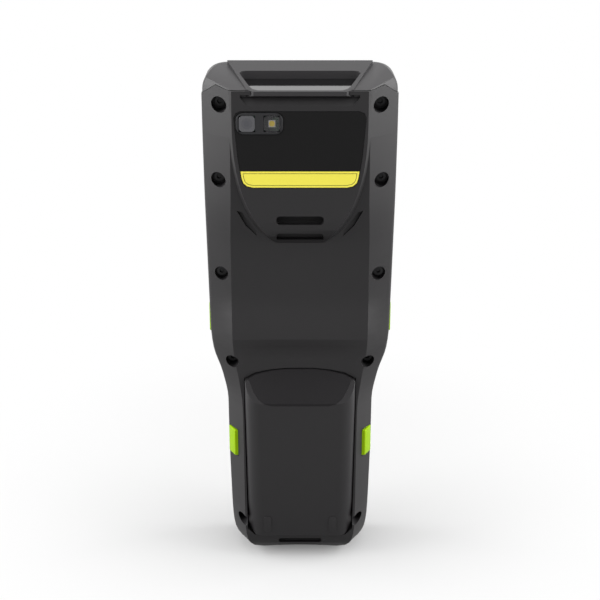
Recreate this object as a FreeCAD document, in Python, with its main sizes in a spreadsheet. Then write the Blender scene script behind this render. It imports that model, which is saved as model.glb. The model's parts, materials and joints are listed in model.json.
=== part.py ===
import FreeCAD, Part
import math
import os

import Sketcher
from FreeCAD import Vector

# Portable keypad data terminal standing on its bottom end, in millimetres.
# The rear looks along -Y, the keypad and display look along +Y, and +Z is up.

# Driving sizes of the terminal
SIZES = {
    "housing_top": 199.4,
    "rear_plane": 17.2,
    "side_strip": 2.5,
    "side_round": 3.0,
    "finger_scoop": 1.0,
    "level_step": 3.0,
    "wall": 2.2,
    "seam_gap": 0.12,
    "fit_gap": 0.3,
    "slide_gap": 0.35,
    # Cap and hood over the scan window
    "cap_half": 37.7,
    "cap_round": 7.5,
    "cap_rear_drop": 5.8,
    "cap_roof_run": 28.0,
    "cap_bevel": 11.6,
    "cap_front": 18.0,
    "hood_rise": 1.1,
    "hood_slope": 7.1,
    "hood_front_half": 28.6,
    "hood_rear_half": 19.0,
    "hood_front": 12.0,
    "hood_rear": 18.0,
    "lip_thickness": 1.3,
    "lip_height": 1.6,
    "lip_floor_drop": 2.4,
    "lip_relief": 1.8,
    "lip_relief_height": 3.0,
    "recess_half": 23.4,
    "recess_front": -1.6,
    "recess_tilt": 2.4,
    "window_thickness": 1.0,
    "chevron_tip": 32.2,
    "chevron_rise": 1.0,
    "chevron_outer_drop": 3.8,
    # Rear bulge with its dark panel
    "bulge_half": 25.8,
    "bulge_flank": 4.2,
    "bulge_power": 0.93,
    "panel_half": 25.0,
    "panel_taper": 2.6,
    "panel_thickness": 1.0,
    "label_height": 6.4,
    "label_thickness": 0.15,
    "bezel_center": 15.3,
    "bezel_width": 17.9,
    "bezel_height": 8.2,
    "bezel_thickness": 0.5,
    "lens_size": 6.2,
    "lens_pitch": 9.45,
    "lens_thickness": 0.4,
    "led_size": 2.6,
    "led_thickness": 0.5,
    "camera_size": 7.0,
    "camera_depth": 4.0,
    # Strap slots
    "slot_half": 9.2,
    "slot_height": 3.5,
    "strap_bar": 3.4,
    "strap_channel": 5.6,
    "foot_slot_level": 7.2,
    "foot_slot_height": 2.6,
    "foot_bar": 3.2,
    # Screws
    "screw_radius": 1.1,
    "head_radius": 2.1,
    "head_height": 1.6,
    "socket_radius": 0.9,
    "socket_depth": 0.9,
    "screw_seat": 1.4,
    "screw_reach": 5.0,
    # Battery and its bay
    "bay_top": 84.4,
    "bay_shoulder": 81.0,
    "bay_bottom": 10.3,
    "bay_half_top": 23.0,
    "bay_half_bottom": 22.2,
    "bay_floor": 3.4,
    "battery_rear": 18.0,
    "battery_toe": 16.6,
    "battery_seam": 71.2,
    "battery_crease": 1.0,
    "battery_top_depth": 9.4,
    "battery_round": 6.5,
    "cell_half": 15.0,
    "cell_depth": 9.0,
    "cell_bottom": 14.5,
    "cell_top": 66.0,
    "contact_half": 8.0,
    "contact_height": 4.0,
    "contact_level": 20.0,
    "contact_thickness": 0.6,
    # Battery latches in the grip flanks
    "latch_bottom": 44.4,
    "latch_height": 11.6,
    "latch_outer": 29.9,
    "latch_inner": 25.8,
    "latch_near": 2.2,
    "latch_strip": 3.4,
    "latch_far": 8.4,
    "latch_facet": 2.6,
    "latch_travel": 1.5,
    # Side scan buttons
    "scan_key_bottom": 96.6,
    "scan_key_height": 12.4,
    "scan_key_near": 1.8,
    "scan_key_depth": 6.4,
    "scan_key_outer": 37.4,
    "scan_key_inner": 33.4,
    "scan_key_round": 1.0,
    # Volume rocker and push to talk button above the scan buttons
    "rocker_height": 18.0,
    "rocker_proud": 0.1,
    "talk_bottom": 122.0,
    "talk_height": 12.0,
    "side_button_depth": 4.6,
    "side_button_near": 2.8,
    "side_button_inner": 33.6,
    # Front: display
    "front_plane": 18.0,
    "key_plane": 15.0,
    "front_bevel": 3.4,
    "glass_half": 32.2,
    "glass_bottom": 108.0,
    "glass_round": 4.0,
    "glass_thickness": 1.2,
    "glass_sink": 0.2,
    "lcd_half": 27.4,
    "lcd_bottom": 111.0,
    "lcd_thickness": 3.0,
    "front_camera_radius": 1.4,
    "front_camera_offset": 22.0,
    # Front: cavities and boards
    "head_cavity_half": 28.4,
    "grip_cavity_half": 20.6,
    "cavity_bottom": 10.0,
    "head_cavity_bottom": 92.0,
    "board_bottom": 14.0,
    "board_near": 3.2,
    "board_thickness": 1.2,
    "bay_ceiling": 1.8,
    "upper_cavity_half": 21.8,
    "upper_cavity_depth": 14.4,
    "seal_thickness": 0.6,
    "seal_width": 1.0,
    "seal_half": 27.6,
    "seal_bottom": 102.0,
    # Keys
    "key_width": 9.6,
    "key_height": 7.6,
    "key_column_pitch": 11.6,
    "key_row_pitch": 10.4,
    "key_round": 1.6,
    "key_edge": 0.5,
    "key_proud": 1.3,
    "key_back_gap": 0.9,
    "key_clearance": 0.35,
    "key_first_row": 24.0,
    "nav_row": 68.0,
    "soft_row": 82.0,
    "soft_width": 12.0,
    "soft_offset": 15.6,
    "soft_pitch": 9.6,
    "scan_center_width": 15.2,
    "scan_center_height": 15.0,
    "membrane_thickness": 1.0,
    "membrane_bottom": 17.0,
    "membrane_top": 98.0,
    # Sound, status light and dock
    "speaker_half": 8.6,
    "speaker_depth": 3.0,
    "speaker_height": 2.2,
    "cap_wall": 2.5,
    "mesh_half": 8.0,
    "mesh_height": 2.2,
    "mesh_thickness": 0.8,
    "light_offset": 16.0,
    "light_width": 5.0,
    "light_height": 1.2,
    "microphone_radius": 2.0,
    "microphone_depth": 2.0,
    "microphone_level": 13.6,
    "sound_hole_radius": 0.6,
    "dock_half": 8.8,
    "dock_near": 2.0,
    "dock_depth": 5.0,
    "dock_sink": 1.2,
    "dock_height": 7.0,
    "engine_half": 10.5,
    "engine_height": 11.0,
    "engine_depth": 9.0,
}

# Sections up the housing: half width, x of the rail's inner edge, rear depth, front depth
STATIONS = {
    "foot": (16.0, 9.5, 5.0, 9.0),
    "toe": (22.4, 15.5, 9.0, 11.0),
    "sole": (25.6, 19.4, 12.2, 12.6),
    "chin": (28.0, 22.0, 15.2, 14.2),
    "heel": (28.9, 23.0, 15.4, 14.8),
    "grip": (29.4, 23.3, 13.0, 15.0),
    "hold": (29.95, 23.4, 12.6, 15.0),
    "neck": (30.1, 23.6, 12.2, 15.0),
    "flare": (32.3, 25.2, 9.8, 15.0),
    "corner": (35.8, 27.0, 10.0, 15.0),
    "rest": (36.6, 27.3, 12.4, 15.2),
    "brow": (36.8, 27.4, 11.4, 17.9),
    "palm": (37.1, 27.5, 9.2, 18.0),
    "waist": (37.5, 27.5, 9.6, 18.0),
    "label": (37.9, 26.9, 13.2, 18.0),
    "shoulder": (38.1, 26.7, 15.0, 18.0),
    "crown": (38.1, 26.7, 15.2, 18.0),
}
STATION_PARTS = ("half", "edge", "back", "front")
STATION_LEVELS = {
    "foot": 0.0,
    "toe": 1.2,
    "sole": 3.5,
    "chin": 8.0,
    "heel": 14.0,
    "grip": 26.0,
    "hold": 50.0,
    "neck": 68.0,
    "flare": 80.0,
    "corner": 91.0,
    "rest": 98.0,
    "brow": 104.0,
    "palm": 116.0,
    "waist": 136.0,
}

# Screws: distance from the middle, radius of the hole down to the head
SCREWS = {
    "head_screw": (30.9, 3.1),
    "label_screw": (31.8, 3.0),
    "palm_screw": (31.5, 2.8),
    "neck_screw": (27.8, 2.7),
    "foot_screw": (24.1, 2.3),
}
SCREW_LEVELS = {
    "palm_screw": 124.5,
    "neck_screw": 87.2,
    "foot_screw": 16.6,
}

# Levels of the head, as distances below the housing's top
HEAD_DROPS = {
    "cap_top": -6.0,
    "recess_floor": 0.8,
    "bulge_foot": 60.8,
    "bulge_start": 13.4,
    "bulge_knee": 48.4,
    "panel_top": 7.6,
    "panel_bottom": 37.0,
    "bezel_level": 12.2,
    "upper_slot_level": 50.1,
    "lower_slot_level": 57.6,
    "rocker_bottom": 53.4,
    "glass_top": 4.8,
    "lcd_top": 8.4,
    "front_camera_level": 6.5,
    "cavity_top": 3.4,
    "board_top": 23.4,
    "upper_cavity_bottom": 39.4,
    "seal_top": 11.4,
    "mesh_level": -1.0,
    "engine_level": 21.4,
    "label_level": 39.4,
    "shoulder_level": 9.4,
    "crown_level": -4.6,
    "head_screw_level": 6.2,
    "label_screw_level": 35.9,
}

for names, parts in ((STATIONS, STATION_PARTS), (SCREWS, ("offset", "hole"))):
    for name, numbers in names.items():
        for part_name, number in zip(parts, numbers):
            SIZES[name + "_" + part_name] = number
for levels in (STATION_LEVELS, SCREW_LEVELS):
    for name, number in levels.items():
        SIZES[name + "_level"] = number
for name, number in HEAD_DROPS.items():
    SIZES[name + "_drop"] = number

doc = FreeCAD.newDocument("terminal")
sheet = doc.addObject("Spreadsheet::Sheet", "dims")
for row, (alias, number) in enumerate(SIZES.items(), start=1):
    sheet.set("A%d" % row, alias.replace("_", " "))
    sheet.set("B%d" % row, str(number))
    sheet.setAlias("B%d" % row, alias)
for row, alias in enumerate(HEAD_DROPS, start=len(SIZES) + 1):
    sheet.set("A%d" % row, alias.replace("_", " "))
    sheet.set("B%d" % row, "=housing_top - %s_drop" % alias)
    sheet.setAlias("B%d" % row, alias)
doc.recompute()


class Term:
    """A number together with the expression over the sheet that gives it."""

    def __init__(self, text, number):
        self.text = text
        self.number = number

    def __float__(self):
        return float(self.number)

    def __add__(self, other):
        other = term(other)
        return Term("(%s + %s)" % (self.text, other.text), self.number + other.number)

    def __sub__(self, other):
        other = term(other)
        return Term("(%s - %s)" % (self.text, other.text), self.number - other.number)

    def __mul__(self, other):
        other = term(other)
        return Term("(%s * %s)" % (self.text, other.text), self.number * other.number)

    def __truediv__(self, other):
        other = term(other)
        return Term("(%s / %s)" % (self.text, other.text), self.number / other.number)

    def __neg__(self):
        return Term("(0 - %s)" % self.text, -self.number)

    def __radd__(self, other):
        return term(other) + self

    def __rsub__(self, other):
        return term(other) - self

    def __rmul__(self, other):
        return term(other) * self


def term(value):
    """The value itself, or a plain number as a term."""
    return value if isinstance(value, Term) else Term(repr(float(value)), float(value))


def size(alias):
    """A cell of the sheet, as a term."""
    return Term("dims." + alias, float(getattr(sheet, alias)))


def num(alias):
    """A cell of the sheet, as a plain number."""
    return float(getattr(sheet, alias))


NODES = {}


def keep(item, label):
    """Name a finished sub-part after its node."""
    item.Label = label
    NODES[label] = item
    return item


def origin_plane(body, role):
    return [item for item in body.Origin.OriginFeatures if item.Role == role][0]


def add_sketch(body, plane, start):
    """A sketch on one of the body's own planes, lifted by start along the plane's normal."""
    sketch = body.newObject("Sketcher::SketchObject", "outline")
    sketch.AttachmentSupport = [(origin_plane(body, plane), "")]
    sketch.MapMode = "FlatFace"
    sketch.setExpression("AttachmentOffset.Base.z", term(start).text)
    return sketch


def draw_polygon(sketch, corners):
    """Closed polygon whose corners are held by expressions."""
    first = sketch.GeometryCount
    count = len(corners)
    points = [Vector(float(u), float(v), 0) for u, v in corners]
    for index in range(count):
        sketch.addGeometry(Part.LineSegment(points[index], points[(index + 1) % count]), False)
    for index in range(count):
        following = first + (index + 1) % count
        sketch.addConstraint(Sketcher.Constraint("Coincident", first + index, 2, following, 1))
    for index, (u, v) in enumerate(corners):
        for kind, value in (("DistanceX", term(u)), ("DistanceY", term(v))):
            held = Sketcher.Constraint(kind, -1, 1, first + index, 1, value.number)
            position = sketch.addConstraint(held)
            sketch.setExpression("Constraints[%d]" % position, value.text)


def draw_circle(sketch, u, v, radius):
    """Circle whose centre and radius are held by expressions."""
    u, v, radius = term(u), term(v), term(radius)
    center = Vector(u.number, v.number, 0)
    index = sketch.addGeometry(Part.Circle(center, Vector(0, 0, 1), radius.number), False)
    constraints = (
        (Sketcher.Constraint("DistanceX", -1, 1, index, 3, u.number), u),
        (Sketcher.Constraint("DistanceY", -1, 1, index, 3, v.number), v),
        (Sketcher.Constraint("Radius", index, radius.number), radius),
    )
    for constraint, value in constraints:
        position = sketch.addConstraint(constraint)
        sketch.setExpression("Constraints[%d]" % position, value.text)


def pad(body, sketch, length):
    feature = body.newObject("PartDesign::Pad", "pad")
    feature.Profile = sketch
    feature.setExpression("Length", term(length).text)
    return feature


def round_edges(body, base, picker, radius):
    """Fillet the edges of a feature that the picker accepts."""
    doc.recompute()
    names = []
    for index, edge in enumerate(base.Shape.Edges, start=1):
        if picker(edge):
            names.append("Edge%d" % index)
    fillet = body.newObject("PartDesign::Fillet", "fillet")
    fillet.Base = (base, names)
    fillet.setExpression("Radius", term(radius).text)
    return fillet


def along(axis):
    """Picker of straight edges that run along an axis."""
    def check(edge):
        box = edge.BoundBox
        spans = {"x": box.XLength, "y": box.YLength, "z": box.ZLength}
        others = [span for name, span in spans.items() if name != axis]
        return spans[axis] > 0.05 and max(others) < 1e-5
    return check


def lying_at(axis, place):
    """Picker of edges that lie in the plane at one place on an axis."""
    def check(edge):
        low = getattr(edge.BoundBox, axis.upper() + "Min")
        high = getattr(edge.BoundBox, axis.upper() + "Max")
        return abs(low - place) < 1e-4 and abs(high - place) < 1e-4
    return check


def block(label, x, y, z, corner=None, edge=None, edge_side=None, axis="y"):
    """Block between pairs of terms, with rounded corners about one axis and a rounded face."""
    body = doc.addObject("PartDesign::Body", label)
    (x0, x1), (y0, y1), (z0, z1) = x, y, z
    if axis == "y":
        sketch = add_sketch(body, "XZ_Plane", -term(y1))
        draw_polygon(sketch, [(x0, z0), (x1, z0), (x1, z1), (x0, z1)])
        last = pad(body, sketch, term(y1) - y0)
    elif axis == "z":
        sketch = add_sketch(body, "XY_Plane", z0)
        draw_polygon(sketch, [(x0, y0), (x1, y0), (x1, y1), (x0, y1)])
        last = pad(body, sketch, term(z1) - z0)
    else:
        sketch = add_sketch(body, "YZ_Plane", x0)
        draw_polygon(sketch, [(y0, z0), (y1, z0), (y1, z1), (y0, z1)])
        last = pad(body, sketch, term(x1) - x0)
    if corner is not None:
        last = round_edges(body, last, along(axis), corner)
    if edge is not None:
        last = round_edges(body, last, lying_at(edge_side[0], float(edge_side[1])), edge)
    return keep(body, label)


def disc(label, x, z, y, radius):
    """Round disc about the Y axis between two depths."""
    body = doc.addObject("PartDesign::Body", label)
    sketch = add_sketch(body, "XZ_Plane", -term(y[1]))
    draw_circle(sketch, x, z, radius)
    pad(body, sketch, term(y[1]) - y[0])
    return keep(body, label)


def feature(label, shape):
    """A sub-part whose freeform shape is worked out in this file."""
    item = doc.addObject("Part::Feature", label)
    item.Shape = shape
    item.Placement = FreeCAD.Placement()
    return keep(item, label)


def box(x, y, z):
    """Plain cutting box between pairs of numbers."""
    low = Vector(float(x[0]), float(y[0]), float(z[0]))
    spans = [float(pair[1]) - float(pair[0]) for pair in (x, y, z)]
    return Part.makeBox(spans[0], spans[1], spans[2], low)


def rounded_box(x, y, z, radius, axis):
    """Cutting box with its edges along one axis rounded."""
    shape = box(x, y, z)
    return shape.makeFillet(float(radius), [edge for edge in shape.Edges if along(axis)(edge)])


def prism_xz(points, y):
    """Prism whose outline lies in the XZ plane, between two depths."""
    outline = [Vector(float(px), float(y[0]), float(pz)) for px, pz in points]
    face = Part.Face(Part.makePolygon(outline + outline[:1]))
    return face.extrude(Vector(0, float(y[1]) - float(y[0]), 0))


def prism_yz(points, x):
    """Prism whose outline lies in the YZ plane, between two widths."""
    outline = [Vector(float(x[0]), float(py), float(pz)) for py, pz in points]
    face = Part.Face(Part.makePolygon(outline + outline[:1]))
    return face.extrude(Vector(float(x[1]) - float(x[0]), 0, 0))


def mirrored_points(points):
    """The points, followed by their mirror images in reverse order."""
    return points + [(-px, pz) for px, pz in reversed(points)]


def corner_arc(before, corner, after, radius):
    """Start, middle and end of the arc that rounds a corner."""
    to_before = (before - corner).normalize()
    to_after = (after - corner).normalize()
    half_angle = to_before.getAngle(to_after) / 2
    reach = radius / math.tan(half_angle)
    bisector = (to_before + to_after).normalize()
    center = corner + bisector * (radius / math.sin(half_angle))
    return corner + to_before * reach, center - bisector * radius, corner + to_after * reach


def station_levels():
    """Levels of the named stations with evenly spaced levels filled in between them."""
    levels = [num(name + "_level") for name in STATIONS]
    filled = []
    for low, high in zip(levels, levels[1:]):
        steps = max(1, round((high - low) / num("level_step")))
        filled += [low + (high - low) * step / steps for step in range(steps)]
    return filled + levels[-1:]


def station_slopes(levels, values):
    """Slopes at the stations that let a cubic curve pass them without overshoot."""
    secants = []
    for index in range(len(levels) - 1):
        rise = values[index + 1] - values[index]
        secants.append(rise / (levels[index + 1] - levels[index]))
    slopes = [secants[0]]
    for before, after in zip(secants, secants[1:]):
        same_way = before * after > 0
        slopes.append(2 * before * after / (before + after) if same_way else 0.0)
    return slopes + secants[-1:]


def station_value(part, level):
    """One of the housing's measures at any level, by a cubic between two stations."""
    levels = [num(name + "_level") for name in STATIONS]
    values = [num(name + "_" + part) for name in STATIONS]
    slopes = station_slopes(levels, values)
    index = 0
    while index < len(levels) - 2 and level > levels[index + 1]:
        index += 1
    span = levels[index + 1] - levels[index]
    share = (level - levels[index]) / span
    keep_low = (1 + 2 * share) * (1 - share) ** 2
    keep_high = share ** 2 * (3 - 2 * share)
    bend_low = share * (1 - share) ** 2 * span
    bend_high = share ** 2 * (share - 1) * span
    ends = keep_low * values[index] + keep_high * values[index + 1]
    return ends + bend_low * slopes[index] + bend_high * slopes[index + 1]


def rear_section(level):
    """Rear half of the housing at one level: side strip, bevelled rail, scooped back."""
    half = station_value("half", level)
    edge = station_value("edge", level)
    back = station_value("back", level)
    strip = min(num("side_strip"), back / 3)
    scoop = num("finger_scoop") * max(0.15, min(1.0, (15.0 - back) / 5))
    root = Vector(half, 0, level)
    side = Vector(half, -strip, level)
    rail = Vector(edge, -back, level)
    start, middle, end = corner_arc(root, side, rail, min(num("side_round"), strip * 1.1))
    flip = [Vector(-point.x, point.y, point.z) for point in (root, start, middle, end, rail)]
    edges = [
        Part.makeLine(root, start),
        Part.Arc(start, middle, end).toShape(),
        Part.makeLine(end, rail),
        Part.Arc(rail, Vector(0, scoop - back, level), flip[4]).toShape(),
        Part.makeLine(flip[4], flip[3]),
        Part.Arc(flip[3], flip[2], flip[1]).toShape(),
        Part.makeLine(flip[1], flip[0]),
        Part.makeLine(flip[0], root),
    ]
    return Part.Wire(edges)


def front_section(level):
    """Front half of the housing at one level: side, bevel and flat face."""
    half = station_value("half", level)
    front = station_value("front", level)
    bevel = num("front_bevel")
    shoulder = front - bevel
    root = Vector(half, 0, level)
    side = Vector(half, shoulder, level)
    face = Vector(half - bevel * 0.8, front, level)
    middle_face = Vector(0, front, level)
    side_arc = corner_arc(root, side, face, bevel * 0.8)
    face_arc = corner_arc(side, face, middle_face, bevel * 0.4)
    points = [root] + list(side_arc) + list(face_arc)
    flip = [Vector(-point.x, point.y, point.z) for point in points]
    edges = [
        Part.makeLine(root, points[1]),
        Part.Arc(*points[1:4]).toShape(),
        Part.makeLine(points[3], points[4]),
        Part.Arc(*points[4:7]).toShape(),
        Part.makeLine(points[6], flip[6]),
        Part.Arc(flip[6], flip[5], flip[4]).toShape(),
        Part.makeLine(flip[4], flip[3]),
        Part.Arc(flip[3], flip[2], flip[1]).toShape(),
        Part.makeLine(flip[1], flip[0]),
        Part.makeLine(flip[0], root),
    ]
    return Part.Wire(edges)


def cap_seam(lift):
    """Lower boundary of the cap: two chevrons with a straight run between them."""
    top = num("housing_top") + lift
    tip = num("chevron_tip")
    outer = num("crown_half") + 4
    inner = num("shoulder_edge") + 0.6
    drop = num("chevron_outer_drop")
    rise = num("chevron_rise")
    slope = (rise + drop) / (num("cap_half") + 1 - tip)
    right = [
        (inner, top),
        (tip, top + rise),
        (outer, top + rise - slope * (outer - tip)),
    ]
    return right


def below_seam(y):
    seam = cap_seam(0.0)
    outer = seam[-1][0]
    return prism_xz(mirrored_points([(outer, -10.0)] + seam[::-1])[::-1], y)


def above_seam(y):
    seam = cap_seam(num("seam_gap"))
    outer = seam[-1][0]
    return prism_xz(mirrored_points([(outer, num("cap_top") + 20)] + seam[::-1]), y)


def screw_places():
    """Every screw place on both sides: x, level, radius of the hole above the head."""
    places = []
    for name in SCREWS:
        for side in (-1, 1):
            offset = side * num(name + "_offset")
            places.append((offset, num(name + "_level"), num(name + "_hole")))
    return places


def round_bar(x, z, radius, y):
    """Round bar along Y between two depths."""
    length = float(y[1]) - float(y[0])
    return Part.makeCylinder(radius, length, Vector(x, float(y[0]), z), Vector(0, 1, 0))


def bulge_wire(grow, depth):
    """Outline of the bulge at one depth, grown outwards by its flank: a long rounded U."""
    top = num("housing_top") + 4
    half = num("bulge_half") + grow
    start = num("bulge_start")
    drop = start - num("bulge_foot") + grow * 0.8
    steps = 14
    right = [Vector(half, depth, top)]
    for step in range(steps + 1):
        angle = math.pi / 2 * step / steps
        x = half * max(0.0, math.cos(angle)) ** num("bulge_power")
        z = start - drop * math.sin(angle) ** num("bulge_power")
        right.append(Vector(x, depth, z))
    flip = [Vector(-point.x, point.y, point.z) for point in reversed(right[:-1])]
    return Part.makePolygon(right + flip + right[:1])


def bulge():
    """Raised plate behind the display, sloping down to the finger rest."""
    rear = num("rear_plane")
    loft = Part.makeLoft([bulge_wire(num("bulge_flank"), -7.0), bulge_wire(0.0, -rear)], True, True)
    knee = num("upper_slot_level") - num("slot_height") / 2
    foot = num("bulge_foot")
    side = [
        (0, foot - 10),
        (-rear + 9, foot - 1.2),
        (-rear + 3.2, foot + 3.4),
        (-rear + 0.6, knee - 2.2),
        (-rear, knee + 0.8),
        (-rear, num("housing_top") + 3),
        (0, num("housing_top") + 3),
    ]
    reach = 2 * num("cap_half")
    return loft.common(prism_yz(side, (-reach, reach)))


def wedge_cuts():
    """Dark undercuts at both flanks of the bulge."""
    knee = num("bulge_knee")
    foot = num("bulge_foot")
    half = num("bulge_half")
    points = [
        (half - 1.1, knee + 0.8),
        (half - 3.1, knee + 0.2),
        (half - 8.4, foot + 4.6),
        (half - 8.7, foot + 2.4),
        (half - 4.5, knee - 5.6),
    ]
    depth = (-16.0, -9.0)
    right = prism_xz(points, depth)
    left = prism_xz([(-px, pz) for px, pz in points], depth)
    return [right, left]


def strap_cuts():
    """Strap slots with the channel behind their bar, and the foot slot."""
    half = num("slot_half")
    height = num("slot_height")
    rear = -num("rear_plane")
    bar = rear + num("strap_bar")
    channel = bar + num("strap_channel")
    upper = num("upper_slot_level")
    lower = num("lower_slot_level")
    foot = num("foot_slot_level")
    foot_height = num("foot_slot_height")
    foot_bar = -num("chin_back") + num("foot_bar")
    x = (-half, half)
    top_slot = (upper - height / 2, upper + height / 2)
    low_slot = (lower - height / 2, lower + height / 2)
    foot_slot = (foot - foot_height / 2, foot + foot_height / 2)
    return [
        rounded_box(x, (rear - 3, channel), top_slot, height * 0.42, "y"),
        rounded_box(x, (rear - 3, channel), low_slot, height * 0.42, "y"),
        box(x, (bar, channel), (low_slot[0], top_slot[1])),
        rounded_box(x, (-20, foot_bar + foot_height), foot_slot, foot_height * 0.42, "y"),
        box(x, (foot_bar, foot_bar + foot_height), (-5, foot_slot[1])),
    ]


def hood_profile(grow):
    """Side view of the hood with its lip, grown downwards by a gap."""
    front = num("hood_front")
    rear = -num("hood_rear")
    lip_low = hood_level(rear) - num("lip_height")
    floor = num("housing_top") - num("lip_floor_drop")
    return [
        (front, num("cap_top") - 3),
        (front, hood_level(front)),
        (rear - grow, hood_level(rear)),
        (rear - grow, lip_low - grow),
        (rear + 2.4, floor - grow),
        (num("fit_gap") - num("upper_cavity_depth"), floor - grow),
    ]


def hood_block(grow):
    """The hood before its well is cut, grown by a gap."""
    reach = 2 * num("cap_half")
    front_half = num("hood_front_half") + grow
    rear_half = num("hood_rear_half") + grow
    right = [
        (front_half, num("hood_front")),
        (rear_half + 1.2, -num("hood_rear") + 2.6),
        (rear_half - 1.6, -num("hood_rear") - grow),
    ]
    outline = right + [(-x, y) for x, y in reversed(right)]
    points = [Vector(x, y, 0) for x, y in outline]
    plan = Part.Face(Part.makePolygon(points + points[:1]))
    hood = prism_yz(hood_profile(grow), (-reach, reach))
    return hood.common(plan.extrude(Vector(0, 0, 2 * num("cap_top"))))


def lip_relief():
    """Slope cut into the bulge below the hood's lip, with slanted ends."""
    rear = -num("rear_plane")
    top = num("housing_top") - num("lip_floor_drop")
    low = top - num("lip_relief_height")
    profile = [
        (rear - 1, low),
        (rear, low),
        (rear + num("lip_relief"), top),
        (rear + num("lip_relief"), top + 10),
        (rear - 1, top + 10),
    ]
    half = num("hood_rear_half") + 1
    ends = [(half, low), (half + 2.5, top), (half + 2.5, top + 1.0), (half, top + 1.0)]
    slope = prism_yz(profile, (-half - 5, half + 5))
    return slope.common(prism_xz(mirrored_points(ends[:3]), (rear - 2, 0)))


def bay_outline(gap):
    """Outline of the battery bay, drawn in by a gap."""
    bottom = num("bay_bottom") + gap
    low_half = num("bay_half_bottom") - gap
    high_half = num("bay_half_top") - gap
    shoulder = num("bay_shoulder") - gap
    top = num("bay_top") - gap
    right = [
        (low_half - 3.0, bottom),
        (low_half, bottom + 3.0),
        (high_half, shoulder - 12),
        (high_half, shoulder - 1.0),
        (high_half - 4.6, shoulder + (top - shoulder) * 0.42),
        (high_half - 10.5, shoulder + (top - shoulder) * 0.8),
        (high_half - 17.5, top),
    ]
    return mirrored_points(right)


def rear_housing():
    """Rear shell: bevelled rails, finger rest, bulge, bay for the battery."""
    shell = Part.makeLoft([rear_section(level) for level in station_levels()], True, True)
    shell = shell.fuse(bulge())
    shell = shell.common(below_seam((-40, 0)))
    rear = -num("rear_plane")
    outside = -2 * num("rear_plane")
    panel_pocket = prism_xz(panel_points(num("seam_gap")), (rear - 1, rear + num("panel_thickness")))
    cuts = [panel_pocket, hood_block(num("seam_gap")), lip_relief()]
    cuts += strap_cuts()
    cuts += wedge_cuts()
    cuts.append(prism_xz(bay_outline(0.0), (-30, -num("bay_floor"))))
    ceiling = -num("bay_ceiling")
    cuts.append(box((-num("grip_cavity_half"), num("grip_cavity_half")), (ceiling, 1),
                    (num("cavity_bottom"), num("head_cavity_bottom"))))
    cuts.append(box((-num("upper_cavity_half"), num("upper_cavity_half")), (-6.0, 1),
                    (num("head_cavity_bottom"), num("cavity_top"))))
    cuts.append(box((-num("upper_cavity_half"), num("upper_cavity_half")),
                    (-num("upper_cavity_depth"), 1),
                    (num("upper_cavity_bottom"), num("cap_top"))))
    window_half = num("recess_half") + num("fit_gap")
    window_under = num("recess_floor") - num("window_thickness") - num("fit_gap")
    cuts.append(box((-window_half, window_half), (-num("upper_cavity_depth"), 1),
                    (window_under, num("cap_top"))))
    bezel_x = -num("bezel_center")
    cuts.append(box((bezel_x - num("bezel_width") / 2 + 1.5, bezel_x + num("bezel_width") / 2 - 1.5),
                    (-20, -10),
                    (num("bezel_level") - 3.4, num("bezel_level") + 3.4)))
    for x, z, hole in screw_places():
        cuts.append(round_bar(x, z, hole, (outside, -num("screw_seat"))))
        cuts.append(round_bar(x, z, num("screw_radius") + 0.2, (outside, 1)))
    for side in (-1, 1):
        inner = side * (num("latch_inner") - num("latch_travel") - num("fit_gap"))
        outer = side * 40
        cuts.append(box(sorted((inner, outer)),
                        (-num("latch_far") - num("fit_gap"), -num("latch_near") + num("fit_gap")),
                        (num("latch_bottom") - num("fit_gap"),
                         num("latch_bottom") + num("latch_height") + num("fit_gap"))))
    contact_gap = num("fit_gap")
    cuts.append(box((-num("contact_half") - contact_gap, num("contact_half") + contact_gap),
                    (-5, 1),
                    (num("contact_level") - contact_gap,
                     num("contact_level") + num("contact_height") + contact_gap)))
    return feature("rear_housing", shell.cut(cuts))


def key_table():
    """Every key: name, centre x, centre level, width, height. Left is +X for the user."""
    keys = []
    pitch = size("key_column_pitch")
    row_pitch = size("key_row_pitch")
    width = size("key_width")
    height = size("key_height")
    names = [
        ["star", "zero", "pound", "enter"],
        ["seven", "eight", "nine", "function"],
        ["four", "five", "six", "alpha"],
        ["one", "two", "three", "backspace"],
    ]
    for row, labels in enumerate(names):
        for column, label in enumerate(labels):
            x = pitch * (1.5 - column)
            z = size("key_first_row") + row_pitch * row
            keys.append(("key_" + label, x, z, width, height))
    for column, label in enumerate(["left", "down", "up", "right"]):
        keys.append(("key_" + label, pitch * (1.5 - column), size("nav_row"), width, height))
    for side, side_name in ((1, "left"), (-1, "right")):
        for row, row_name in ((0, "lower"), (1, "upper")):
            x = size("soft_offset") * side
            z = size("soft_row") + size("soft_pitch") * (row - 0.5) + 0.8
            name = "key_soft_%s_%s" % (side_name, row_name)
            keys.append((name, x, z, size("soft_width") - 2.6, height))
    keys.append(("key_scan", term(0), size("soft_row") + 0.8, size("scan_center_width"),
                 size("scan_center_height")))
    return keys


def side_button_cut(side, near, depth, bottom, height, inner):
    """Opening through the front shell's flank for one side button."""
    gap = num("slide_gap")
    pair = sorted((side * (inner - 1.6), side * 45))
    return box(pair, (near - gap, near + depth + gap), (bottom - gap, bottom + height + gap))


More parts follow.
